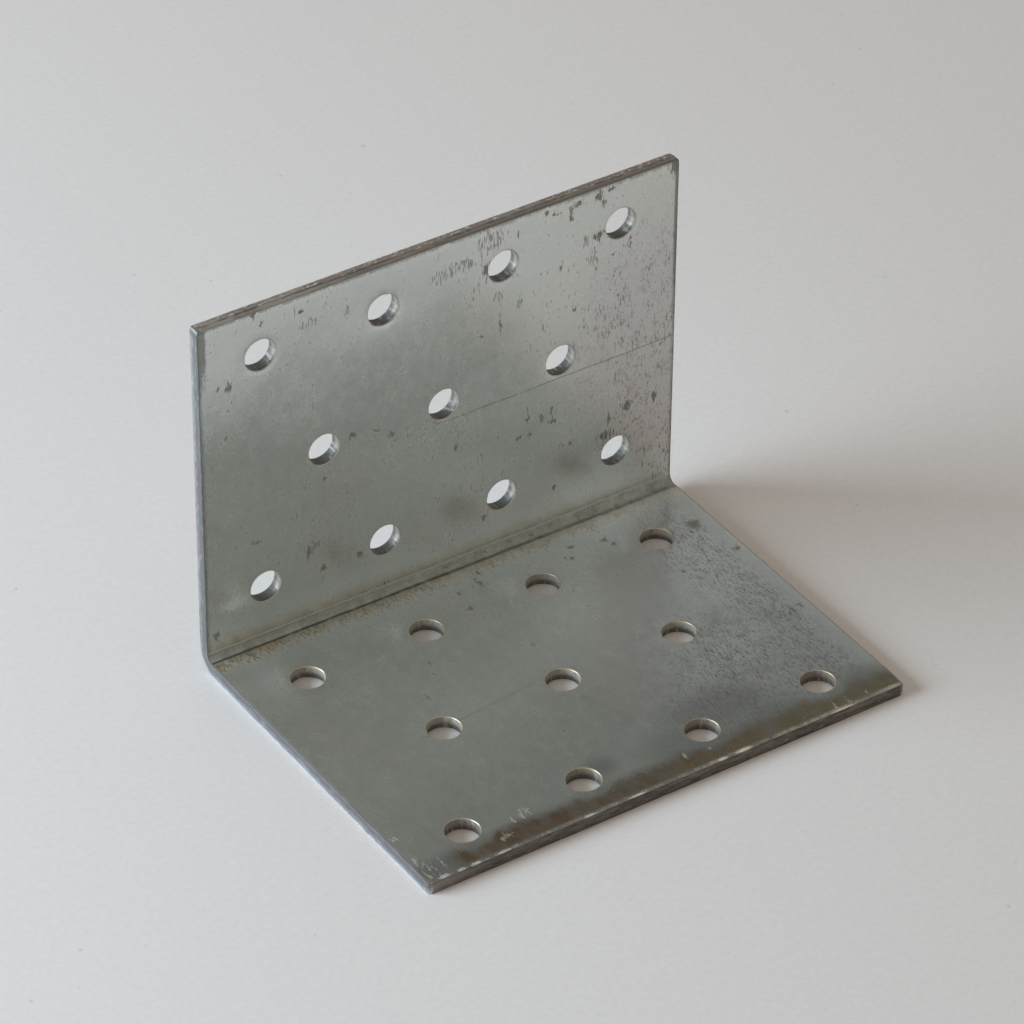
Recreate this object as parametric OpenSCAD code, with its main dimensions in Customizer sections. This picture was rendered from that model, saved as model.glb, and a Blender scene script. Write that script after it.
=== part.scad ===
// Perforated angle bracket, folded at a right angle from one galvanised steel sheet.
// X runs along the fold, the upright leg stands at +Y and the base leg lies on Z = 0.
// The holes are pierced, and every edge sheared, from the side that ends up inside the angle.

/* [Sheet] */
// Width of the bracket, along its fold
bracket_w = 80; // [50:1:200]
// Thickness of the sheet
sheet_t = 2; // [1.5:0.1:4]
// Radius of the blunted corners
corner_r = 0.6; // [0.2:0.1:6]

/* [Legs] */
// Height of the upright leg, measured outside
upright_h = 58.7; // [45:0.1:150]
// Depth of the base leg, measured outside
base_d = 60; // [45:0.1:150]

/* [Fold] */
// Radius inside the fold
fold_r = 1.2; // [0.6:0.1:5]
// Extra rounding outside the fold, where the sheet thins as it is drawn round
fold_thinning = 0.6; // [0.1:0.1:1.5]

/* [Holes] */
// Diameter of a nail or screw hole
hole_d = 5; // [3:0.1:8]
// Distance between the holes of one row
hole_pitch = 20; // [12:1:40]
// Distance between neighbouring rows, which are staggered by half a hole pitch
row_pitch = 20; // [12:1:40]
// Least distance from the bracket's ends to the first hole of a row
end_margin = 10; // [6:0.5:20]
// Free edge of the upright leg to its outer row
upright_margin = 7.5; // [6:0.1:15]
// Free edge of the base leg to its outer row
base_margin = 7.1; // [6:0.1:15]
// Least distance from where the fold ends to the inner row
fold_margin = 6; // [5:0.5:15]

/* [Cut edges] */
// Radius of the rim that the punch draws in round a hole
hole_rim_r = 0.3; // [0.3:0.05:0.6]
// Depth of the rim round a hole
hole_rim_h = 0.25; // [0.05:0.05:0.25]
// Radius of the rim that the shear draws in along an outer edge
edge_rim_r = 0.5; // [0.5:0.05:0.8]
// Depth of the rim along an outer edge
edge_rim_h = 0.4; // [0.1:0.05:0.45]
// Height of the torn zone under the smooth band of a cut
tear_h = 0.8; // [0.2:0.1:0.9]
// How far the torn zone draws back at the burr side
tear_w = 0.08; // [0.02:0.01:0.2]

/* [Hidden] */
$fn = 48;
zinc_grey = [0.58, 0.61, 0.59];
// how far a cut runs past the metal
over = 0.5;
// from the heel's faces to where the fold ends and the legs run flat
fold_end = fold_r + sheet_t;
fold_outer_r = fold_end + fold_thinning;

// Rows on a leg, counted in from its free edge
function row_count(leg, margin) =
    floor((leg - margin - fold_end - fold_margin) / row_pitch) + 1;

// Holes in row i: the outer row is full, and every second row has one hole less
function hole_count(i) = floor((bracket_w - 2 * end_margin) / hole_pitch) + 1 - i % 2;

// What a cut takes off, seen along the cut. The cut's line is x = 0, with the scrap
// on its +x side. y is 0 on the burr side and sheet_t on the side the tool enters.
module cut_flank(scrap, rim_r, rim_h) {
    // the smooth band
    translate([0, -over])
        square([scrap, sheet_t + 2 * over]);
    // the torn zone
    polygon([[0, tear_h], [-tear_w, 0], [-tear_w, -over], [0, -over]]);
    // the drawn-in rim
    translate([-rim_r, sheet_t - rim_h])
        difference() {
            square([rim_r, rim_h + over]);
            circle(rim_r);
        }
}

module edge_flank() {
    cut_flank(over, edge_rim_r, edge_rim_h);
}

// A square corner at the origin with a round of radius r left standing in it
module round_off(r) {
    difference() {
        square(r + over);
        circle(r);
    }
}

// Each leg is drawn in a frame of its own: x along the fold, y out from the heel
// and z up from the outer face.
module on_base() {
    translate([0, base_d / 2, 0])
        mirror([0, 1, 0])
        children();
}

module on_upright() {
    translate([0, base_d / 2, 0])
        rotate([90, 0, 0])
        children();
}

module at_both_ends() {
    children();
    mirror([1, 0, 0]) children();
}

// The folded sheet seen along the fold, with its outer faces meeting at [0, 0]
module fold_section() {
    difference() {
        union() {
            translate([-base_d, 0])
                square([base_d, sheet_t]);
            translate([-sheet_t, 0])
                square([sheet_t, upright_h]);
            // the inside of the fold
            translate([-fold_end, sheet_t])
                difference() {
                    square(fold_r);
                    translate([0, fold_r]) circle(fold_r);
                }
        }
        // the outside of the fold
        translate([-fold_outer_r, fold_outer_r])
            mirror([0, 1])
            round_off(fold_outer_r);
        // the two free edges
        translate([-base_d, 0])
            mirror([1, 0])
            edge_flank();
        translate([0, upright_h])
            rotate(90)
            edge_flank();
    }
}

module folded_sheet() {
    translate([0, base_d / 2, 0])
        rotate([90, 0, 90])
        linear_extrude(bracket_w, center = true)
        fold_section();
}

// The cut across one end of a leg, from the fold out past the free edge
module leg_end_cut(leg) {
    translate([bracket_w / 2, leg + over, 0])
        rotate([90, 0, 0])
        linear_extrude(leg + over - fold_end)
        edge_flank();
}

// The same cut carried round the fold
module fold_end_cut() {
    translate([bracket_w / 2, base_d / 2 - fold_end, fold_end])
        rotate([0, 90, 0])
        rotate_extrude(angle = 90)
        translate([fold_end, 0])
        rotate(90)
        edge_flank();
}

module corner_cut(leg) {
    translate([bracket_w / 2 - corner_r, leg - corner_r, -over])
        linear_extrude(sheet_t + 2 * over)
        round_off(corner_r);
}

module hole_cut() {
    rotate_extrude()
        translate([hole_d / 2, 0])
        mirror([1, 0])
        cut_flank(hole_d / 2, hole_rim_r, hole_rim_h);
}

module leg_holes(leg, margin) {
    for (i = [0 : 1 : row_count(leg, margin) - 1], k = [0 : 1 : hole_count(i) - 1])
        translate([(k - (hole_count(i) - 1) / 2) * hole_pitch, leg - margin - i * row_pitch, 0])
        hole_cut();
}

// Everything that is cut from one leg
module leg_cuts(leg, margin) {
    at_both_ends() {
        leg_end_cut(leg);
        corner_cut(leg);
    }
    leg_holes(leg, margin);
}

module angle_bracket() {
    color(zinc_grey)
    difference() {
        folded_sheet();
        at_both_ends() fold_end_cut();
        on_base() leg_cuts(base_d, base_margin);
        on_upright() leg_cuts(upright_h, upright_margin);
    }
}

angle_bracket();
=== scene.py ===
import math

import bmesh
import bpy
from mathutils import Matrix, Vector, noise


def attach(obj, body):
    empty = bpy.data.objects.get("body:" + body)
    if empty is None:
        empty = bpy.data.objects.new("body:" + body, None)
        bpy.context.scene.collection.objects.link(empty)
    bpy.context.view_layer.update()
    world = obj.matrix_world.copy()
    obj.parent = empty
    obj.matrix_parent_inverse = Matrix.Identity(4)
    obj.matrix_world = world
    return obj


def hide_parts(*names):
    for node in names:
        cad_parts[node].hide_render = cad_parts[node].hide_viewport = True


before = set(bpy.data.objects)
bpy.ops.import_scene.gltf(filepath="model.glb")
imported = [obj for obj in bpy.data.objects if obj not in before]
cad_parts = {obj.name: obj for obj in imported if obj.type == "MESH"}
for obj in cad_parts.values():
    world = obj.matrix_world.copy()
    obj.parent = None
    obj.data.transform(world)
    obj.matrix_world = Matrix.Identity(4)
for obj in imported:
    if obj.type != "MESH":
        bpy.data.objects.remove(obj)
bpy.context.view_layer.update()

# ------------------------------------------------------------------------------------------
# Angle bracket: one strip of 2 mm zinc-coated steel sheet. It is pierced with 22 holes and
# sheared to its outline while flat, and then folded once at a right angle in a press brake.
# It is drawn in millimetres on the flat blank: x across, y along, the punch side up.
# ------------------------------------------------------------------------------------------
width = 80.0
sheet = 2.0
base_flat = 56.8                 # from the base's free edge to the fold
fold_length = 3.4                # along the inside of the fold
upright_flat = 55.5
blank_length = base_flat + fold_length + upright_flat
pitch = 20.0

blank = bmesh.new()

# The blank starts as squares of sheet, a hole in each. The middle row of each leg is half a
# pitch over, so plain half squares fill it up. A square's border has its hole's steps.
hole_r = 2.5
side_steps = 18
ring_growth = (1.18, 1.2, 1.22)  # each ring round a hole against the one inside it
square_rows = (10.0, 30.0, 50.0, 74.0, 94.0, 114.0)
fold_from, fold_to = 60.0, 64.0


def new_parts(result, kind):
    """What an operator has made, of one kind."""
    found = result.get("geom") or result.get("verts") or result.get("edges")
    return [part for part in found if isinstance(part, kind)]


def square_border(place):
    """Where a step of the ring round a hole ends up on the border of the hole's square."""
    turn = (math.atan2(place.y, place.x) + math.pi / 4) / (math.pi / 2)
    side = math.floor(turn + 1e-6)     # a corner's own step counts with the side after it
    corner = Vector((pitch / 2, pitch * (turn - side) - pitch / 2, 0.0))
    return Matrix.Rotation(side * math.pi / 2, 3, "Z") @ corner


# One square round one hole, in rings from the hole's rim to the square's border.
hole_rim = bmesh.ops.create_circle(blank, segments=4 * side_steps, radius=hole_r)["verts"]
ring = list({edge for vert in hole_rim for edge in vert.link_edges})
for grow in (*ring_growth, None):
    step = bmesh.ops.extrude_edge_only(blank, edges=ring)
    verts = new_parts(step, bmesh.types.BMVert)
    if grow:
        bmesh.ops.scale(blank, verts=verts, vec=(grow, grow, 1.0))
    else:
        for vert in verts:
            vert.co = square_border(vert.co)
    ring = [edge for edge in new_parts(step, bmesh.types.BMEdge)
            if edge.verts[0] in verts and edge.verts[1] in verts]
spokes = list({edge for vert in verts for edge in vert.link_edges} - set(ring))
bmesh.ops.subdivide_edges(blank, edges=spokes, cuts=3, use_grid_fill=True)
one_square = blank.verts[:] + blank.edges[:] + blank.faces[:]
first_verts = blank.verts[:]

hole_places = []
for row, y in enumerate(square_rows):
    middle_row = row in (1, 4)
    for x in (-20.0, 0.0, 20.0) if middle_row else (-30.0, -10.0, 10.0, 30.0):
        hole_places.append((x, y))
        copied = bmesh.ops.duplicate(blank, geom=one_square)
        bmesh.ops.translate(blank, verts=new_parts(copied, bmesh.types.BMVert), vec=(x, y, 0.0))
    for x in (-35.0, 35.0) if middle_row else ():
        half = bmesh.ops.create_grid(blank, x_segments=side_steps // 2,
                                     y_segments=side_steps, size=pitch / 2)["verts"]
        bmesh.ops.scale(blank, verts=half, vec=(0.5, 1.0, 1.0))
        bmesh.ops.translate(blank, verts=half, vec=(x, y, 0.0))
bmesh.ops.delete(blank, geom=first_verts, context="VERTS")
strip = bmesh.ops.create_grid(blank, x_segments=4 * side_steps, y_segments=16, size=1.0)["verts"]
bmesh.ops.scale(blank, verts=strip, vec=(width / 2, (fold_to - fold_from) / 2, 1.0))
bmesh.ops.translate(blank, verts=strip, vec=(0.0, (fold_from + fold_to) / 2, 0.0))
bmesh.ops.remove_doubles(blank, verts=blank.verts[:], dist=0.01)

# The squares are then drawn in to the real outline, less a margin for the rolled-over edge,
# without changing the ground next to a hole.
margin = 1.3
across = ((0.0, 0.0), (34.5, 34.5), (40.0, width / 2 - margin))
along = ((0.0, margin), (5.5, 2.6), (54.5, 51.6), (fold_from, base_flat),
         (fold_to, base_flat + fold_length), (69.5, 63.7), (118.5, 112.7),
         (124.0, blank_length - margin))


def drawn_in(value, table):
    """The real place of a place on the squares, by straight lines between known ones."""
    for (low, low_to), (high, high_to) in zip(table, table[1:]):
        if value <= high:
            return low_to + (high_to - low_to) * (value - low) / (high - low)
    return table[-1][1]


for vert in blank.verts:
    vert.co.x = math.copysign(drawn_in(abs(vert.co.x), across), vert.co.x)
    vert.co.y = drawn_in(vert.co.y, along)

# The edge is drawn out from the margin in strips, with short steps along it so that its
# waves show. The corners' squares are divided again, for their rounding.
edge_strips = (0.45, 0.4, 0.45)
longest_step = 0.5
corner_r = 0.6
on_line = 0.01                   # how near to a line counts as on it


def outward(place, inset=0.0):
    """Which way is out of the sheet at a place on its outline, or on one inset from it."""
    right = 1.0 if place.x > width / 2 - inset - on_line else 0.0
    left = 1.0 if place.x < inset + on_line - width / 2 else 0.0
    top = 1.0 if place.y > blank_length - inset - on_line else 0.0
    bottom = 1.0 if place.y < inset + on_line else 0.0
    return Vector((right - left, top - bottom, 0.0))


rim = [edge for edge in blank.edges if edge.is_boundary
       and all(outward(vert.co, margin).length for vert in edge.verts)]
long_steps = [edge for edge in rim if edge.calc_length() > longest_step]
bmesh.ops.subdivide_edges(blank, edges=long_steps, cuts=3)
rim = [edge for edge in blank.edges if edge.is_boundary
       and all(outward(vert.co, margin).length for vert in edge.verts)]
inset = margin
corner_steps = []                # where out is slantwise, so longer than 1
for strip_width in edge_strips:
    step = bmesh.ops.extrude_edge_only(blank, edges=rim)
    verts = new_parts(step, bmesh.types.BMVert)
    for vert in verts:
        vert.co += outward(vert.co, inset) * strip_width
    inset -= strip_width
    rim = [edge for edge in new_parts(step, bmesh.types.BMEdge)
           if edge.verts[0] in verts and edge.verts[1] in verts]
    corner_steps += [edge for edge in rim
                     if any(outward(vert.co, inset).length > 1.2 for vert in edge.verts)]
bmesh.ops.subdivide_edges(blank, edges=corner_steps, cuts=4, use_grid_fill=True)

# Every point of a cut remembers which way the cut faces, and whether it is a hole's.
facing = blank.verts.layers.float_vector.new("facing")
cut_mark = blank.verts.layers.float.new("cut")
hole_mark = blank.verts.layers.float.new("hole")
hole_places = [(x, drawn_in(y, along)) for x, y in hole_places]


def nearest_hole(place):
    """The middle of the hole nearest to a place."""
    return min((Vector((x, y, 0.0)) for x, y in hole_places),
               key=lambda middle: (place.xy - middle.xy).length_squared)


for vert in blank.verts:
    if not vert.is_boundary:
        continue
    vert[cut_mark] = 1.0
    out = outward(vert.co)
    if out.length:
        vert[facing] = out
    else:
        middle = nearest_hole(vert.co)
        vert[hole_mark] = 1.0
        vert[facing] = Vector((middle.x - vert.co.x, middle.y - vert.co.y, 0.0)).normalized()

# The sheet gets its thickness, and the wall of each cut its form from the punch side down:
# a rim that the tool draws in, a smooth band, and a torn zone that draws back to the burr.
cut_levels = 12
rim_levels = (0.0, 0.12, 0.3, 0.5, 0.75, 1.0)
smooth_at = 0.8                  # a level half-way down the smooth band
torn_levels = (0.0, 0.3, 0.6, 0.88, 1.0)
torn_from, torn_draw = 1.2, 0.08


def cut_form(rim_r, rim_h):
    """Depth and draw-back at each level of a cut."""
    form = [(rim_h * share, rim_r - math.sqrt(rim_r ** 2 - (rim_h * (1 - share)) ** 2))
            for share in rim_levels]
    form.append((smooth_at, 0.0))
    form += [(torn_from + (sheet - torn_from) * share, torn_draw * share)
             for share in torn_levels]
    return form


front_form = cut_form(rim_r=0.45, rim_h=0.36)
edge_form = cut_form(rim_r=0.2, rim_h=0.17)
hole_form = cut_form(rim_r=0.16, rim_h=0.14)
first_free_level, last_level = 5, cut_levels - 1

lower = bmesh.ops.extrude_face_region(blank, geom=blank.faces[:])
bmesh.ops.translate(blank, verts=new_parts(lower, bmesh.types.BMVert), vec=(0.0, 0.0, -sheet))
wall = [edge for edge in blank.edges
        if abs(edge.verts[0].co.z - edge.verts[1].co.z) > sheet / 2]
bmesh.ops.subdivide_edges(blank, edges=wall, cuts=cut_levels - 2, use_grid_fill=True)

for vert in blank.verts:
    place = vert.co.copy()
    if vert[cut_mark] > 0.5:
        level = round(-place.z / sheet * last_level)
        is_hole = vert[hole_mark] > 0.5
        out = vert[facing].copy()
        form = hole_form if is_hole else front_form if out.y < -0.5 else edge_form
        depth, back = form[level]
        if first_free_level <= level < last_level:       # the bands wander up and down
            depth += 0.13 * noise.noise(Vector((place.x, place.y, 3.0)) * 0.55)
        if first_free_level + 2 <= level < last_level:   # the torn zone is rough
            back += 0.05 * noise.noise(Vector((place.x * 2.3, place.y * 2.3, depth * 1.4)))
        if not is_hole:                                  # the shears leave long waves
            back += 0.035 * noise.noise(Vector((place.x, place.y, 9.0)) * 0.23)
        vert.co = place - out * back
        vert.co.z = -depth
        if not is_hole:
            corner = Vector((abs(vert.co.x) - (width / 2 - corner_r),
                             abs(vert.co.y - blank_length / 2) - (blank_length / 2 - corner_r)))
            if corner.x > 0 and corner.y > 0:
                pull = max(corner) / corner.length
                vert.co.x = math.copysign(width / 2 - corner_r + corner.x * pull, vert.co.x)
                middle_y = vert.co.y - blank_length / 2
                vert.co.y = blank_length / 2 + math.copysign(
                    blank_length / 2 - corner_r + corner.y * pull, middle_y)

# On the punch side the sheet also sinks a little towards each cut. Where the shears bent it
# down most, along the base's free edge, it starts to sink 4 mm from the edge.
side_sink, side_reach = 0.05, 0.9
end_sink, end_reach = 0.04, 0.8
front_sink, front_reach = 0.24, 4.2
hole_sink, hole_reach = 0.03, 0.9
sink_ends = 1.2                  # how deep in the sheet the sinking still tells


def sink(place):
    """How far the punch side has sunk at a place."""
    side = width / 2 - abs(place.x)
    total = side_sink * max(0.0, 1 - side / side_reach)
    total += end_sink * max(0.0, 1 - (blank_length - place.y) / end_reach)
    total += front_sink * max(0.0, 1 - place.y / front_reach) ** 2
    gap = (place.xy - nearest_hole(place).xy).length - hole_r
    return total + hole_sink * max(0.0, 1 - gap / hole_reach) ** 2


blank_place = blank.verts.layers.float_vector.new("blank")
by_hole = blank.verts.layers.float_vector.new("by_hole")
for vert in blank.verts:
    vert[blank_place] = Vector((vert.co.x, vert.co.y, -vert.co.z))
    off = vert.co.xy - nearest_hole(vert.co).xy
    vert[by_hole] = Vector((off.x, off.y, off.length - hole_r))
    top_share = max(0.0, 1.0 + vert.co.z / sink_ends)
    vert.co.z -= sink(vert.co) * top_share

# The press brake folds the blank. Inside and outside bend about middles of their own, because
# the sheet thins as it is drawn round the outside. The rest of the sheet slips to suit.
front_y = -30.0                  # where the base's free edge comes to lie
inner_middle, inner_r = Vector((26.8, 3.2)), 1.2
outer_middle, outer_r = Vector((26.2, 3.8)), 3.8
slip = outer_r - inner_r - sheet
slip_reach = 6.5
sharp = math.radians(32)         # a turn sharper than this shows as an edge
to_metres = 0.001


def smooth_step(share):
    """From 0 to 1 with soft ends."""
    share = min(1.0, max(0.0, share))
    return share * share * (3 - 2 * share)


def folded(place):
    """Where a place on the flat blank comes to lie."""
    depth = -place.z / sheet
    fold_end = base_flat + fold_length
    if place.y < base_flat:
        ease_in = smooth_step(1 - (base_flat - place.y) / slip_reach)
        return Vector((place.x, place.y + front_y - slip * ease_in * depth, sheet + place.z))
    if place.y > fold_end:
        ease_out = smooth_step(1 - (place.y - fold_end) / slip_reach)
        height = inner_middle.y + place.y - fold_end
        return Vector((place.x, inner_middle.x + inner_r - place.z,
                       height + slip * ease_out * depth))
    turn = (place.y - base_flat) / fold_length * math.pi / 2
    ray = Vector((math.sin(turn), -math.cos(turn)))
    inner = inner_middle + ray * inner_r
    outer = outer_middle + ray * outer_r
    there = inner + (outer - inner) * depth
    return Vector((place.x, there.x, there.y))


for vert in blank.verts:
    vert.co = folded(vert.co)
bmesh.ops.scale(blank, verts=blank.verts[:], vec=(to_metres, to_metres, to_metres))
bmesh.ops.recalc_face_normals(blank, faces=blank.faces[:])
for face in blank.faces:
    face.smooth = True
for edge in blank.edges:
    edge.smooth = edge.calc_face_angle(0.0) < sharp
mesh = bpy.data.meshes.new("bracket_sheet")
blank.to_mesh(mesh)
blank.free()
bracket = bpy.data.objects.new("bracket_sheet", mesh)
bpy.context.scene.collection.objects.link(bracket)


class Value:
    """A shader socket. A sum written with it adds the Math nodes that work it out."""

    tree = None

    def __init__(self, socket):
        self.socket = socket

    @classmethod
    def node(cls, kind, settings=None, sockets=None, output=0):
        made = cls.tree.nodes.new("ShaderNode" + kind)
        for name, setting in (settings or {}).items():
            if name == "stops":
                ramp = made.color_ramp
                while len(ramp.elements) < len(setting):
                    ramp.elements.new(0.5)
                for element, (place, colour) in zip(ramp.elements, setting):
                    element.position, element.color = place, colour
            else:
                setattr(made, name, setting)
        for name, value in (sockets or {}).items():
            if isinstance(value, cls):
                cls.tree.links.new(value.socket, made.inputs[name])
            else:
                made.inputs[name].default_value = value
        return cls(made.outputs[output]) if made.outputs else None

    def math(self, operation, first, second=0.0):
        return Value.node("Math", {"operation": operation}, {0: first, 1: second})

    def __add__(self, other):
        return self.math("ADD", self, other)

    def __radd__(self, other):
        return self.math("ADD", other, self)

    def __sub__(self, other):
        return self.math("SUBTRACT", self, other)

    def __rsub__(self, other):
        return self.math("SUBTRACT", other, self)

    def __mul__(self, other):
        return self.math("MULTIPLY", self, other)

    def __rmul__(self, other):
        return self.math("MULTIPLY", other, self)

    def __abs__(self):
        return self.math("ABSOLUTE", self)


def rise(value, low, high):
    """0 up to low, 1 from high on, and smooth between. It falls if low is above high."""
    return Value.node("MapRange", {"interpolation_type": "SMOOTHSTEP"},
                      {0: value, 1: low, 2: high})


def blend(share, first, second):
    """One colour giving way to another."""
    return Value.node("Mix", {"data_type": "RGBA"}, {0: share, 6: first, 7: second}, output=2)


def grain(size_x, size_y, detail=2.0, seed=0.0, size_deep=1.0):
    """Noise round 0 on the blank, its lumps about as large as given, in millimetres."""
    stretched = Value.node("Mapping", None, {
        "Vector": on_blank, "Location": (seed, 2.7 * seed, 1.3 * seed),
        "Scale": (1 / size_x, 1 / size_y, 1 / size_deep)})
    return Value.node("TexNoise", None, {
        "Vector": stretched, "Scale": 1.0, "Detail": detail, "Roughness": 0.55}) - 0.5


def patches(where, table):
    """Distance to the nearest ellipse (x, y, half width, half length): 0 in its middle, 1 on
    its outline and more outside."""
    nearest = None
    for middle_x, middle_y, half_x, half_y in table:
        here = Value.node("VectorMath", {"operation": "MULTIPLY_ADD"}, {
            0: where, 1: (1 / half_x, 1 / half_y, 0.0),
            2: (-middle_x / half_x, -middle_y / half_y, 0.0)})
        here = Value.node("VectorMath", {"operation": "LENGTH"}, {0: here}, output=1)
        nearest = here if nearest is None else here.math("MINIMUM", nearest, here)
    return nearest


zinc = bpy.data.materials.new("galvanised_sheet")
zinc.use_nodes = True
zinc.node_tree.nodes.clear()
Value.tree = zinc.node_tree
on_blank = Value.node("Attribute", {"attribute_name": "blank"}, output=1)
blank_x, blank_y, blank_deep = (
    Value.node("SeparateXYZ", None, {0: on_blank}, output=axis) for axis in range(3))
cut = rise(Value.node("Attribute", {"attribute_name": "cut"}, output=2), 0.55, 0.95)
at_hole = Value.node("Attribute", {"attribute_name": "hole"}, output=2)
off_hole = Value.node("Attribute", {"attribute_name": "by_hole"}, output=1)
hole_gap = Value.node("SeparateXYZ", None, {0: off_hole}, output=2)
punch_side = rise(blank_deep, 0.9, 0.3)

# The zinc coat: cloudy, with a fine grain along the strip. It is brightest in a few patches.
coat_dark, coat_light = (0.66, 0.71, 0.685, 1.0), (0.87, 0.91, 0.89, 1.0)
coat_warm, coat_grey = (0.79, 0.765, 0.72, 1.0), (0.42, 0.44, 0.42, 1.0)
coat_polished_and_glint, coat_cool = (0.93, 0.98, 0.965, 1.0), (0.70, 0.83, 0.97, 1.0)
cloud = grain(9.0, 14.0, 2.0, 1.0)
wander = grain(7.0, 30.0, 1.0, 7.0)
mottle = grain(1.5, 2.2, 2.0, 2.0)
fine = grain(0.22, 0.5, 1.0, 3.0)
streaks = grain(0.16, 0.9, 0.0, 5.0)
tone = 0.5 + 0.32 * cloud + 0.5 * mottle + 0.75 * fine
colour = blend(tone, coat_dark, coat_light)
colour = blend(rise(grain(12.0, 17.0, 1.0, 4.0), -0.05, 0.25) * 0.25, colour, coat_warm)
# Patch (-34.5, 67.2) by the upright's low left hole is a painted reflection of a lit base hole.
polished_and_glint_at = (
    (-36.0, 103.0, 8.0, 8.0), (-21.0, 98.0, 12.0, 7.0), (-4.0, 96.0, 12.0, 7.0),
    (6.0, 89.0, 11.0, 7.0), (16.0, 84.0, 9.0, 6.0),
    (22.0, 78.0, 7.0, 6.0), (30.0, 65.0, 10.0, 5.0), (-36.0, 50.0, 5.0, 8.0),
    (-34.5, 67.2, 2.6, 1.2), (14.0, 31.0, 11.0, 17.0), (33.0, 37.0, 9.0, 13.0),
    (24.0, 20.0, 9.0, 5.0), (38.5, 18.0, 3.0, 14.0),
    (29.0, 57.0, 9.0, 6.0), (-12.0, 105.0, 10.0, 5.0))
polished_and_glint = rise(patches(on_blank, polished_and_glint_at), 1.5, 0.3)
colour = blend(polished_and_glint * (0.8 + 0.5 * fine + 0.5 * mottle), colour, coat_polished_and_glint)
cool = rise(blank_y, 62.0, 40.0) * rise(blank_x - 0.6 * blank_y, -28.0, 6.0)
colour = blend(cool * 0.1, colour, coat_cool)
colour = blend(rise(abs(blank_y - 75.0), 10.0, 3.0) * 0.12, colour, coat_grey)

# Wear. The upright's right part is rubbed dull, and short dark strokes and specks lie on the
# coat. The base's right part and patches along its front are painted darker: a painted dark
# reflection, with a rippled grain on the right part.
rubbed_pale, rubbed_dark = (0.70, 0.695, 0.715, 1.0), (0.33, 0.33, 0.335, 1.0)
dark_reflection_tone, front_reflection_tone = (0.25, 0.255, 0.26, 1.0), (0.29, 0.295, 0.28, 1.0)
rubbed_at = (
    (36.0, 88.0, 17.0, 24.0), (37.0, 70.0, 8.0, 14.0))
rubbed = rise(patches(on_blank, rubbed_at), 1.15, 0.35)
# Painted dark reflection over the base's right part, with a rippled grain.
dark_reflection_at = (
    (17.0, 9.0, 14.0, 12.0), (31.0, 12.0, 13.0, 13.0), (24.0, 17.0, 15.0, 16.0),
    (36.0, 24.0, 11.0, 18.0), (34.0, 40.0, 9.0, 17.0))
dark_reflection = rise(patches(on_blank, dark_reflection_at), 1.3, 0.2) * rise(blank_x, 39.5, 36.0)
stroke_ground_at = (
    (-22.3, 110.5, 2.2, 1.5), (-0.5, 110.3, 2.6, 1.6), (2.8, 110.8, 3.2, 1.7),
    (8.0, 113.2, 3.4, 2.4), (24.4, 107.4, 3.0, 1.8), (25.2, 104.5, 1.0, 2.6),
    (12.9, 101.8, 1.0, 2.4), (9.0, 103.4, 1.2, 1.4), (-16.0, 110.2, 0.8, 1.6),
    (28.8, 70.6, 3.4, 2.2), (-22.2, 72.0, 2.2, 1.6))
stroke_ground = rise(patches(on_blank, stroke_ground_at), 1.0, 0.4)
strokes = rise(streaks + 0.27 * stroke_ground + 0.07 * rubbed + 0.5 * mottle
               + 0.4 * cloud, 0.26, 0.40)

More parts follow.
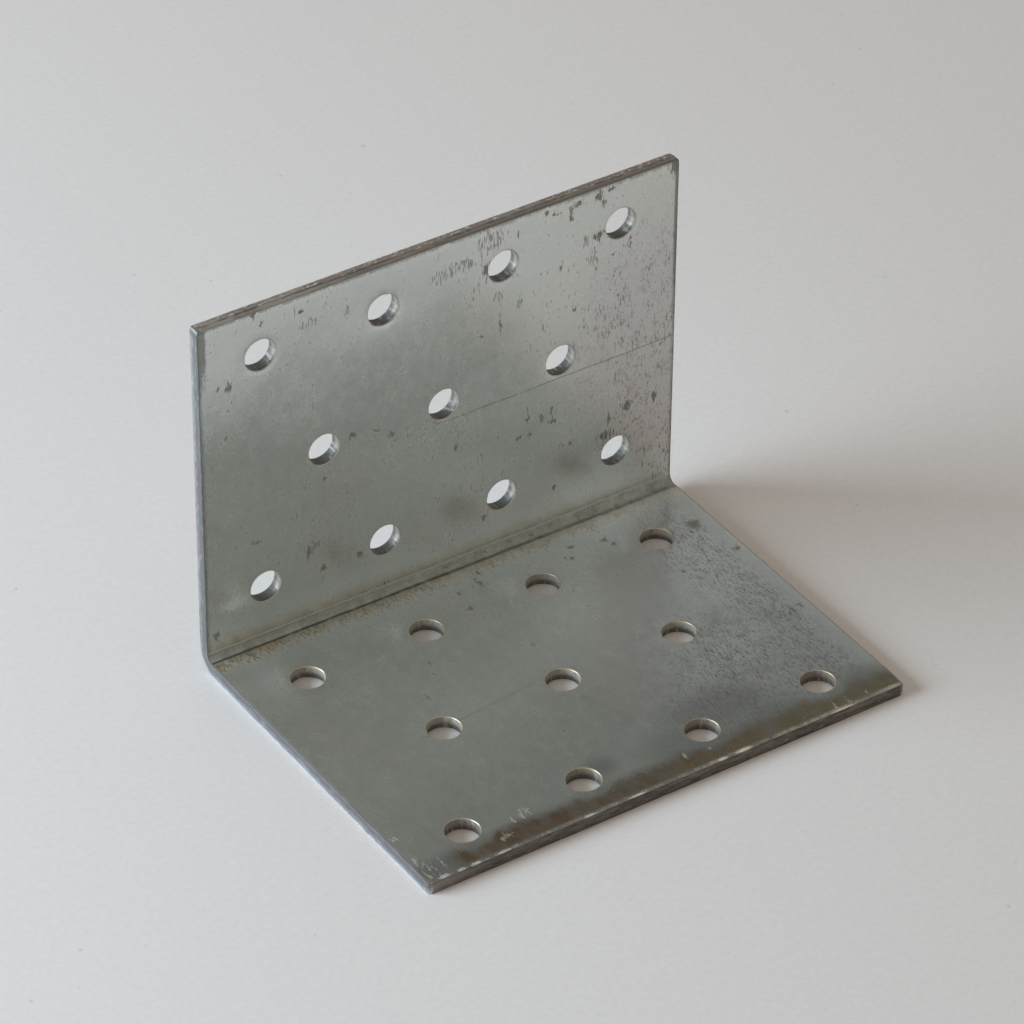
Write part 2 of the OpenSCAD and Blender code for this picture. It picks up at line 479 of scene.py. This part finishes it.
# A copy of the blank's coordinates, stirred so that marks placed on it get ragged outlines.
stir_x, stir_y = 1.3, 1.6
stir = Value.node("Mapping", None, {"Vector": on_blank, "Scale": (1.6, 1.2, 1.0)})
stir = Value.node("TexNoise", None, {"Vector": stir, "Scale": 1.0, "Detail": 2.0}, output=1)
stirred = Value.node("VectorMath", {"operation": "MULTIPLY_ADD"}, {
    0: stir, 1: (stir_x, stir_y, 0.0), 2: on_blank})
stirred = Value.node("VectorMath", {"operation": "SUBTRACT"}, {
    0: stirred, 1: (stir_x / 2, stir_y / 2, 0.0)})
spots_at = (
    (7.1, 108.6, 0.6, 1.3), (26.2, 107.5, 0.9, 0.7), (21.4, 112.8, 0.35, 1.5),
    (22.6, 114.0, 1.1, 0.5), (26.1, 114.3, 0.6, 0.9), (27.0, 112.9, 0.4, 1.0),
    (28.4, 114.7, 0.8, 0.4), (12.5, 112.8, 0.22, 0.8), (17.3, 114.6, 0.5, 0.4),
    (18.8, 113.8, 0.7, 0.2), (19.8, 104.4, 0.3, 0.7), (31.6, 104.2, 0.2, 1.0),
    (28.8, 103.4, 0.4, 0.4), (9.5, 98.7, 0.18, 2.1), (6.5, 97.5, 0.35, 0.35),
    (22.3, 96.0, 0.3, 0.4), (-35.2, 104.6, 0.6, 0.9), (-37.0, 105.2, 0.3, 0.4),
    (-31.0, 114.9, 0.3, 0.8), (-29.8, 113.4, 0.25, 0.3), (-23.3, 113.0, 0.5, 0.3),
    (-8.8, 86.5, 0.5, 0.5), (-11.0, 88.1, 0.6, 0.3), (-15.3, 88.9, 0.5, 0.5),
    (-35.8, 96.5, 0.35, 0.3), (-38.2, 92.4, 0.25, 0.6), (-20.0, 83.2, 0.3, 0.4),
    (-31.2, 76.7, 0.8, 0.25), (2.2, 79.7, 0.5, 0.7), (12.9, 77.2, 0.35, 0.6),
    (14.7, 77.2, 0.25, 0.6), (16.8, 79.2, 0.4, 0.7), (18.5, 79.8, 0.25, 1.2),
    (18.7, 77.9, 0.8, 0.3), (14.4, 80.7, 0.14, 1.5), (31.7, 75.6, 0.75, 1.0),
    (28.6, 74.6, 0.3, 1.1), (28.0, 71.9, 1.3, 0.7), (20.5, 73.1, 0.35, 0.4),
    (21.8, 72.7, 0.35, 0.3), (33.5, 72.5, 0.7, 0.3), (36.6, 75.8, 0.5, 1.0),
    (-20.5, 67.5, 0.7, 0.45), (-23.0, 71.2, 0.25, 1.3), (-14.2, 67.6, 0.55, 0.5),
    (-10.0, 60.4, 0.25, 0.4), (6.9, 65.2, 0.35, 0.35), (19.1, 65.8, 0.3, 0.9),
    (-38.4, 63.0, 0.5, 0.7), (39.2, 115.0, 0.9, 1.8), (0.1, 58.6, 0.45, 0.6),
    (6.9, 58.4, 0.4, 0.45), (11.1, 58.6, 0.45, 0.45), (15.0, 58.3, 0.45, 0.8),
    (2.4, 52.4, 0.25, 1.6), (3.6, 54.0, 0.2, 0.9), (1.0, 51.9, 0.35, 0.5),
    (-1.4, 51.8, 0.4, 0.35), (18.3, 52.3, 0.5, 0.4), (23.4, 51.0, 0.6, 0.55),
    (16.0, 50.3, 0.35, 0.35), (17.0, 49.8, 0.4, 0.3), (24.0, 49.4, 0.6, 0.5),
    (-2.0, 48.0, 0.45, 0.55), (-13.7, 40.6, 0.35, 0.9), (-14.7, 38.0, 0.35, 0.35),
    (-17.5, 38.6, 0.35, 0.25), (0.9, 35.9, 0.35, 0.5), (-18.3, 34.0, 0.3, 0.8),
    (0.0, 22.3, 0.3, 0.5), (36.5, 47.0, 1.1, 1.1), (38.5, 38.8, 0.6, 0.7),
    (28.7, 38.5, 0.35, 0.5), (38.4, 22.9, 0.6, 0.7), (-6.5, 17.5, 0.4, 0.25))
spots = rise(patches(stirred, spots_at) - 1.9 * streaks - 1.0 * fine, 1.15, 0.55)
pepper = grain(0.2, 0.36, 1.0, 16.0)
specks = rise(grain(0.42, 0.7, 1.0, 6.0) + 0.25 * mottle + 0.10 * rubbed, 0.24, 0.36)
dark = spots * 0.85 * punch_side + strokes * (0.25 + 0.35 * punch_side) + specks * 0.5
dark = dark.math("MINIMUM", dark, 1.0)
colour = blend(rubbed * punch_side * (0.75 + 1.6 * pepper + mottle), colour, rubbed_pale)
peppered = rise(pepper + 0.7 * mottle + 0.5 * streaks, 0.04, 0.26)
colour = blend(rubbed * punch_side * peppered * 0.42, colour, rubbed_dark)
reflection_ripple = 0.17 - 1.9 * pepper - 1.5 * streaks - 0.8 * mottle
colour = blend(dark_reflection * punch_side * reflection_ripple, colour, dark_reflection_tone)
# Painted dark reflection in patches along the base's front.
front_reflection_at = (
    (8.0, 5.0, 10.0, 6.0), (20.0, 4.0, 9.0, 5.0), (14.0, 10.0, 9.0, 5.0),
    (-7.0, 8.0, 3.5, 2.5), (18.0, 9.5, 5.5, 4.5), (36.0, 4.0, 5.0, 3.5))
front_reflection = rise(patches(on_blank, front_reflection_at), 1.3, 0.3)
colour = blend(front_reflection * (0.5 + 0.6 * mottle) * punch_side, colour, front_reflection_tone)

# A thin brown film lies about the fold, and thick residue where the brake's blade pressed.
# Dirt fills the crease at the foot of the fold, with painted shade beside it on the base, and
# the upright just above is painted lighter, a painted reflection.
film_tone, fold_tone = (0.42, 0.42, 0.35, 1.0), (0.295, 0.34, 0.315, 1.0)
dirt_pale, dirt_dark = (0.56, 0.50, 0.33, 1.0), (0.24, 0.215, 0.15, 1.0)
crease_dirt_and_shade_tone, painted_light_tone = (0.12, 0.105, 0.075, 1.0), (0.88, 0.95, 1.0, 1.0)
film = rise(abs(blank_y - 58.5) + 6.0 * cloud, 20.0, 3.0) * punch_side
colour = blend(film * (0.11 - 0.0035 * blank_x), colour, film_tone)
low_line = 56.65 - 0.011 * blank_x + 0.3 * wander
high_line = 59.6 + 0.25 * wander
in_fold = rise(blank_y - low_line, -0.3, 0.4) * rise(blank_y - high_line, 0.95, 0.0)
fold_share = in_fold * (0.85 + 0.9 * mottle + 0.6 * fine) * punch_side
colour = blend(fold_share, colour, fold_tone)
bristles = grain(0.25, 0.8, 1.0, 9.0)
residue = rise(blank_y - low_line + 3.0 * bristles + 2.0 * mottle, -3.6, -0.9)
residue = residue * rise(blank_y - low_line, 0.15, -0.05)
dirt = blend(rise(bristles + 0.4 * fine, -0.05, 0.14), dirt_pale, dirt_dark)
colour = blend(residue * (0.55 - 0.008 * blank_x + 0.9 * mottle) * punch_side, colour, dirt)
crease = rise(abs(blank_y - low_line - 0.12), 0.5, 0.18)
# Painted shade on the base beside the crease.
crease_shade = rise(blank_y - low_line + mottle, -1.8, 0.0) * rise(blank_y - low_line, 0.4, 0.1)
high_crease = rise(abs(blank_y - high_line), 0.26, 0.05) * rise(blank_x, -8.0, -26.0)
crease_dirt_and_shade = (crease * (0.62 - 0.007 * blank_x + mottle) + crease_shade * 0.22
                + high_crease * 0.5)
colour = blend(crease_dirt_and_shade * punch_side, colour, crease_dirt_and_shade_tone)
# A painted lighter reflection on the upright just above the fold.
painted_light_band = rise(blank_y, 59.3, 60.2) * rise(blank_y + 3.0 * mottle, 67.0, 61.0)
colour = blend(painted_light_band * 0.6, colour, painted_light_tone)
matted = (in_fold + crease + 0.6 * residue) * punch_side
matted = matted.math("MINIMUM", matted, 1.0)

# Along the base's free edge the shears bared the steel, which has gone brown.
base_reflection_tone = (0.29, 0.30, 0.28, 1.0)
rust_left, rust_right = (0.25, 0.185, 0.125, 1.0), (0.30, 0.255, 0.16, 1.0)
brown_patches = grain(4.0, 30.0, 1.0, 10.0)
brown = rise(blank_y - 1.5 * mottle - 2.6 * wander, 5.3, 2.9) * rise(blank_y, 0.45, 1.2)
brown = brown * rise(hole_gap + mottle, 1.1, 2.6)
# The base is painted darker towards its free edge, a painted dark reflection.
base_dark_reflection = 0.34 * rise(blank_y, 48.0, 0.0) + 0.45 * rise(blank_y - 2.5 * cloud, 6.0, 2.2)
colour = blend(base_dark_reflection * punch_side, colour, base_reflection_tone)
rust_tone = blend(rise(blank_x + 30.0 * mottle, -15.0, 30.0), rust_left, rust_right)
brown = brown * rise(blank_x + 2.0 * mottle, -36.5, -32.0)
rust_share = brown * (0.8 + 1.4 * brown_patches + 1.3 * mottle + 0.9 * fine) * punch_side
colour = blend(rust_share, colour, rust_tone)

# Rolled-over margins along the upright's sides and top are painted dark, a painted dark
# reflection of the room, and painted shade lies just below the top edge.
rim_reflection_tone, top_shade_tone = (0.24, 0.255, 0.225, 1.0), (0.22, 0.205, 0.17, 1.0)
side_gap = width / 2 - abs(blank_x)
left_part = rise(blank_x, 0.1, -0.1)
high_part = rise(blank_y + 9.0 * cloud + 5.0 * streaks, 92.0 + 12.0 * left_part, 112.0)
# Painted dark reflection on the rolled-over margins.
rim_dark_reflection = rise(side_gap - 0.75 * left_part + 0.5 * mottle + 0.5 * fine, 0.75, 0.3) * high_part
spotted_rim = rise(side_gap + 0.6 * mottle + 0.6 * fine, 0.75, 0.3) * rise(
    blank_y, 59.0, 61.0) * (0.6 + 1.4 * mottle)
right_rim = rise(blank_x, 39.1, 39.6) * rise(blank_y, 84.0, 106.0) * (0.8 + 1.6 * mottle)
rim_dark_reflection = rim_dark_reflection + spotted_rim + right_rim
colour = blend(rim_dark_reflection.math("MINIMUM", rim_dark_reflection, 1.0) * 0.85 * punch_side, colour, rim_reflection_tone)
# Painted shade just below the upright's top edge.
top_shade = rise(blank_length - blank_y + 1.4 * mottle + 0.7 * fine, 0.85, 0.1)
colour = blend(top_shade * (0.75 + 0.9 * mottle) * punch_side, colour, top_shade_tone)

# Lines scribed across both legs before the folding, and the dark marks over everything.
line_tone, mark_tone = (0.24, 0.235, 0.21, 1.0), (0.20, 0.205, 0.19, 1.0)
scribed = rise(abs(blank_y - 85.15 - 0.5 * wander), 0.17, 0.04) * rise(
    grain(1.6, 30.0, 1.0, 8.0) + 0.012 * blank_x, -0.12, 0.22)
faint_line = rise(abs(blank_y - 28.9 - 0.09 * blank_x - 0.6 * wander), 0.22, 0.04) * rise(
    abs(blank_x + 14.0), 12.0, 9.0)
colour = blend((scribed * 0.6 + faint_line * 0.25) * punch_side, colour, line_tone)
colour = blend(dark, colour, mark_tone)

# Light scratches, and bright bare pieces along the rim of the base's free edge, with a painted
# highlight along that rim. One scratch patch is a painted reflection.
bare_and_highlight_left, bare_and_highlight_right = (0.84, 0.88, 0.91, 1.0), (0.84, 0.78, 0.60, 1.0)
# The last patch, by the upright's low left hole, is a painted reflection of a lit base hole.
scratches_and_glint_at = (
    (-39.0, 1.7, 0.25, 0.9), (-37.5, 2.4, 0.15, 1.3), (-36.1, 2.8, 0.2, 1.2),
    (-38.9, 10.5, 0.4, 0.4), (-39.0, 5.2, 0.3, 1.5), (-38.2, 3.4, 0.15, 1.6),
    (-21.5, 5.6, 0.5, 0.9), (-20.4, 5.9, 0.4, 0.7), (-23.0, 5.2, 0.3, 0.7),
    (4.7, 3.9, 0.25, 0.7), (-25.7, 2.8, 1.2, 0.5), (28.8, 1.5, 0.2, 0.7),
    (31.1, 1.0, 0.2, 0.6), (34.4, 1.6, 0.2, 0.6), (8.5, 3.2, 0.35, 0.35),
    (20.4, 3.9, 0.25, 0.25), (-35.8, 67.3, 2.2, 1.1))
scratches_and_glint = rise(patches(stirred, scratches_and_glint_at) - 3.0 * streaks - 1.2 * fine, 0.95, 0.35)
rim_pieces_at = (
    (-37.2, 0.5, 1.2, 0.4), (-34.4, 0.45, 0.8, 0.35), (-32.0, 0.4, 1.0, 0.45),
    (-27.6, 0.45, 1.4, 0.3), (-13.5, 0.4, 1.2, 0.3), (-5.5, 0.4, 1.6, 0.25),
    (8.8, 0.4, 1.0, 0.4), (12.4, 0.5, 1.5, 0.45), (29.5, 0.3, 2.2, 0.25))
rim_pieces = rise(patches(on_blank, rim_pieces_at) + 1.1 * mottle + 1.4 * fine, 1.0, 0.6)
rim_pieces = rim_pieces + rise(abs(blank_y - 0.35 - 0.25 * mottle), 0.3, 0.08) * rise(
    grain(1.6, 30.0, 2.0, 11.0) + 0.5 * fine - 0.003 * blank_x, 0.14, 0.3) * 0.5
rim_pieces = rim_pieces * rise(blank_deep, 0.75, 0.4)
# A painted highlight along the rolled rim of the base's free edge.
rim_highlight = rise(abs(blank_y - 0.45 - 0.4 * mottle), 0.6, 0.12) * rise(blank_deep, 0.8, 0.4)
rim_highlight = rim_highlight * (0.08 + 0.006 * blank_x + 0.8 * fine + mottle)
bare_and_highlights = (scratches_and_glint * 0.4 + rim_pieces * 0.75 + rim_highlight) * punch_side
colour = blend(bare_and_highlights, colour, blend(rise(blank_x, -25.0, 20.0), bare_and_highlight_left, bare_and_highlight_right))

# The cuts at the two ends. Bare steel shows, browner at the top and dark at the front, with
# pale flecks on its outer half.
steel_grey, steel_brown = (0.33, 0.32, 0.295, 1.0), (0.36, 0.27, 0.22, 1.0)
steel_pale, steel_seam = (0.52, 0.525, 0.49, 1.0), (0.12, 0.11, 0.10, 1.0)
inner_right, inner_left = (0.22, 0.215, 0.20, 1.0), (0.42, 0.43, 0.41, 1.0)
front_dark, front_grey = (0.115, 0.105, 0.092, 1.0), (0.215, 0.20, 0.175, 1.0)
front_pale, top_dark = (0.36, 0.35, 0.32, 1.0), (0.13, 0.125, 0.11, 1.0)
zinc_fleck = (0.84, 0.80, 0.775, 1.0)
end_cut = cut * (1.0 - at_hole) * rise(side_gap, 0.35, 0.7)
end_grain = grain(1.9, 9.0, 2.0, 12.0, 0.35)
fleck_grain = grain(0.9, 9.0, 1.0, 13.0, 0.26)
top_end = rise(blank_y, 60.0, 61.0)
deep_wave = blank_deep + 0.5 * end_grain
steel = blend(rise(end_grain, -0.02, 0.2), steel_grey, steel_brown)
steel = blend(rise(blank_x + 8.0 * end_grain, -16.0, -26.0) * 0.5, steel, steel_pale)
inner_steel = blend(rise(blank_x + 20.0 * end_grain, 10.0, -34.0), inner_right, inner_left)
steel = blend(rise(deep_wave, 0.55, 0.35), steel, inner_steel)
seam = rise(abs(deep_wave - 0.82), 0.3, 0.08) * rise(end_grain, 0.16, -0.05)
steel = blend(seam * 0.85, steel, steel_seam)
front_steel = blend(rise(end_grain, -0.16, 0.2), front_dark, front_grey)
front_steel = blend(rise(blank_x, -28.0, -38.5) * 0.5, front_steel, front_pale)
steel = blend(top_end, front_steel, steel)
flecks = rise(fleck_grain + 0.05 * top_end, 0.10, 0.22) * rise(blank_deep, 0.8, 1.0)
patchy = wander + 0.6 * mottle
steel = blend(rise(patchy, 0.02, 0.2) * 0.4 * top_end, steel, top_dark)
fleck_share = flecks * (0.2 + 0.75 * top_end) * rise(patchy, -0.24, 0.06)
steel = blend(fleck_share, steel, zinc_fleck)
colour = blend(end_cut, colour, steel)

# The cuts at the two sides are greyer and paler than the ends, with scars along them.
side_dark, side_pale = (0.27, 0.285, 0.29, 1.0), (0.47, 0.49, 0.51, 1.0)
side_glint, side_scar = (0.74, 0.79, 0.83, 1.0), (0.19, 0.195, 0.20, 1.0)
side_shade, side_rim = (0.22, 0.225, 0.225, 1.0), (0.15, 0.155, 0.155, 1.0)
side_cut = cut * (1.0 - at_hole) - end_cut
side_grain = grain(9.0, 1.6, 2.0, 14.0, 0.24)
side_steel = blend(rise(blank_deep, 0.8, 1.9), side_dark, side_pale)
side_steel = blend(rise(side_grain, 0.04, 0.2) * 0.5, side_steel, side_glint)
side_steel = blend(rise(side_grain, -0.02, -0.2) * 0.6, side_steel, side_scar)
side_steel = blend(rise(blank_deep + 1.2 * side_grain, 1.3, 0.4) * 0.5
                   + rise(blank_y, 114.0, 115.0) * 0.8, side_steel, side_shade)
colour = blend(side_cut, colour, side_steel)
rim_parts = rise(left_part + rise(blank_y, 58.0, 60.0), 0.0, 1.0)
edge_rim = rise(side_gap, 0.45, 0.1) * rise(blank_deep, 1.1, 0.6) * rim_parts
edge_rim = edge_rim * (1.0 - 0.65 * rise(blank_y, 57.0, 62.0))
colour = blend(edge_rim * (0.85 + 1.0 * mottle), colour, side_rim)

# The holes' walls: a smooth pale band, then the torn zone. The rim has a thin bright line.
band_tone, torn_tone = (0.42, 0.415, 0.365, 1.0), (0.17, 0.155, 0.145, 1.0)
rusty_wall, low_wall_shade_tone = (0.17, 0.135, 0.115, 1.0), (0.088, 0.102, 0.104, 1.0)
wall_glint, wall_scar = (0.74, 0.74, 0.69, 1.0), (0.13, 0.12, 0.12, 1.0)
base_rim, upright_rim = (0.55, 0.46, 0.30, 1.0), (0.50, 0.51, 0.49, 1.0)
wall_grain = grain(0.55, 0.55, 1.0, 15.0, 2.4)
torn = rise(blank_deep + 0.8 * wall_grain, 0.75, 1.45)
wall_steel = blend(torn, band_tone, torn_tone)
wall_steel = blend(rise(blank_y, 11.0, 8.0) * 0.55, wall_steel, rusty_wall)
hole_y = Value.node("SeparateXYZ", None, {0: off_hole}, output=1)
# Painted shade on the lower walls of the upright's holes.
low_wall_shade = rise(blank_y, 60.0, 61.0) * rise(hole_y + 2.0 * wall_grain, -0.6, -2.0)
wall_steel = blend(low_wall_shade * 0.85, wall_steel, low_wall_shade_tone)
wall_steel = blend(rise(wall_grain, 0.04, 0.26) * 0.4, wall_steel, wall_glint)
wall_steel = blend(rise(wall_grain, -0.08, -0.28) * 0.5, wall_steel, wall_scar)
hole_wall = cut * at_hole * rise(blank_deep, 0.05, 0.15)
hole_line = rise(hole_gap + 0.5 * mottle, 0.22, 0.05) * rise(blank_deep, 0.5, 0.3)
rim_tone = blend(rise(blank_y, 55.0, 62.0), base_rim, upright_rim)
colour = blend(hole_line * 0.8, colour, rim_tone)
colour = blend(hole_wall, colour, wall_steel)

# Dirt, rust and bare steel shine less than the coat and are rougher.
metallic = (1.0 - 0.5 * matted - 0.5 * dark - 0.45 * bare_and_highlights - 0.25 * end_cut
            - 0.5 * hole_wall - 0.5 * edge_rim)
roughness = (0.25 + 0.10 * mottle + 0.04 * fine + 0.05 * rubbed + 0.18 * dark
             + 0.25 * end_cut + 0.2 * side_cut + 0.28 * hole_wall + 0.2 * bare_and_highlights
             + 0.25 * edge_rim + 0.25 * hole_line + 0.2 * matted)
height = (0.004 + 0.03 * cut) * fine + 0.012 * mottle
shader = Value.node("BsdfPrincipled", None, {
    "Base Color": colour, "Metallic": metallic, "Roughness": roughness,
    "Normal": Value.node("Bump", None, {"Strength": 1.0, "Distance": 0.001, "Height": height})})
Value.node("OutputMaterial", None, {"Surface": shader})
mesh.materials.append(zinc)
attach(bracket, "root")
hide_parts("angle_bracket")

# ------------------------------------------------------------------------------------------
# Floor: a wide sheet of plain pale paper, made of wood fibres with a few dark flecks. The
# bracket stands on it.
# ------------------------------------------------------------------------------------------
paper_half = 3.0
paper_dark, paper_pale = (0.72, 0.72, 0.72, 1.0), (0.81, 0.81, 0.81, 1.0)
paper_fleck = (0.42, 0.42, 0.42, 1.0)
paper = bmesh.new()
bmesh.ops.create_grid(paper, x_segments=1, y_segments=1, size=paper_half)
floor_mesh = bpy.data.meshes.new("floor")
paper.to_mesh(floor_mesh)
paper.free()
floor = bpy.data.objects.new("floor", floor_mesh)
bpy.context.scene.collection.objects.link(floor)
paper_finish = bpy.data.materials.new("paper")
paper_finish.use_nodes = True
paper_finish.node_tree.nodes.clear()
Value.tree = paper_finish.node_tree
on_paper = Value.node("TexCoord", output=3)
fibres = Value.node("TexNoise", None, {"Vector": on_paper, "Scale": 1100.0, "Detail": 2.0})
fleck = Value.node("TexNoise", None, {"Vector": on_paper, "Scale": 760.0, "Detail": 0.0})
paper_tone = blend(fibres, paper_dark, paper_pale)
paper_tone = blend(rise(fleck, 0.85, 0.9) * 0.35, paper_tone, paper_fleck)
shader = Value.node("BsdfPrincipled", None, {
    "Base Color": paper_tone, "Roughness": 0.8, "Specular IOR Level": 0.2})
Value.node("OutputMaterial", None, {"Surface": shader})
floor_mesh.materials.append(paper_finish)

# ------------------------------------------------------------------------------------------
# Light: a wide, low, cool window behind on the left, in a plain room with warm walls and a
# warm pale ceiling. Where they meet there is a darker, greyer band all round.
# ------------------------------------------------------------------------------------------
window_width, window_height = 0.56, 0.34
window_azimuth, window_elevation, window_distance = math.radians(159), math.radians(22), 0.8
window = bpy.data.lights.new("window", "AREA")
window.shape = "RECTANGLE"
window.size, window.size_y = window_width, window_height
window.energy = 8.5
window.color = (0.775, 0.89, 1.0)
window_stand = bpy.data.objects.new("window", window)
bpy.context.scene.collection.objects.link(window_stand)
towards = Vector((math.cos(window_azimuth) * math.cos(window_elevation),
                  math.sin(window_azimuth) * math.cos(window_elevation),
                  math.sin(window_elevation)))
window_stand.location = towards * window_distance
window_stand.rotation_euler = towards.to_track_quat("Z", "Y").to_euler()

wall_light = (0.46, 0.37, 0.285, 1.0)
band_light = (0.237, 0.246, 0.243, 1.0)
ceiling_light = (0.62, 0.50, 0.40, 1.0)
room = bpy.data.worlds.new("room")
bpy.context.scene.world = room
room.use_nodes = True
room.node_tree.nodes.clear()
Value.tree = room.node_tree
direction = Value.node("TexCoord", output=0)
upward = Value.node("SeparateXYZ", None, {0: direction}, output=2)
glow = Value.node("ValToRGB", {"stops": (
    (0.0, wall_light), (0.42, wall_light), (0.52, band_light), (0.78, band_light),
    (0.9, ceiling_light))}, {0: upward})
Value.node("OutputWorld", None, {"Surface": Value.node("Background", None, {
    "Color": glow, "Strength": 1.0})})

# ------------------------------------------------------------------------------------------
# Camera: a long lens, above and to the left of the front. It aims about half-way up the
# bracket, with a small step aside to frame it.
# ------------------------------------------------------------------------------------------
focal_length, frame_width, film_width = 5462.23, 1024, 36.0      # pixels, pixels, mm
aim = Vector((0.0, 0.0, 0.030))
distance, step_left, step_down = 0.75742, 0.005791, 0.000255
azimuth, elevation, roll = -0.590628, 0.640552, 0.008986
camera = bpy.data.cameras.new("camera")
camera.sensor_width = film_width
camera.lens = focal_length / frame_width * film_width
camera.clip_start, camera.clip_end = 0.05, 20.0
stand = bpy.data.objects.new("camera", camera)
bpy.context.scene.collection.objects.link(stand)
back = Vector((math.sin(azimuth) * math.cos(elevation),
               -math.cos(azimuth) * math.cos(elevation), math.sin(elevation)))
level = Vector((math.cos(azimuth), math.sin(azimuth), 0.0))
over = back.cross(level)
right = level * math.cos(roll) + over * math.sin(roll)
up = over * math.cos(roll) - level * math.sin(roll)
place = aim + back * distance - right * step_left - up * step_down
stand.matrix_world = Matrix((
    (right.x, up.x, back.x, place.x), (right.y, up.y, back.y, place.y),
    (right.z, up.z, back.z, place.z), (0.0, 0.0, 0.0, 1.0)))
bpy.context.scene.camera = stand
bpy.context.scene.view_settings.view_transform = "Standard"
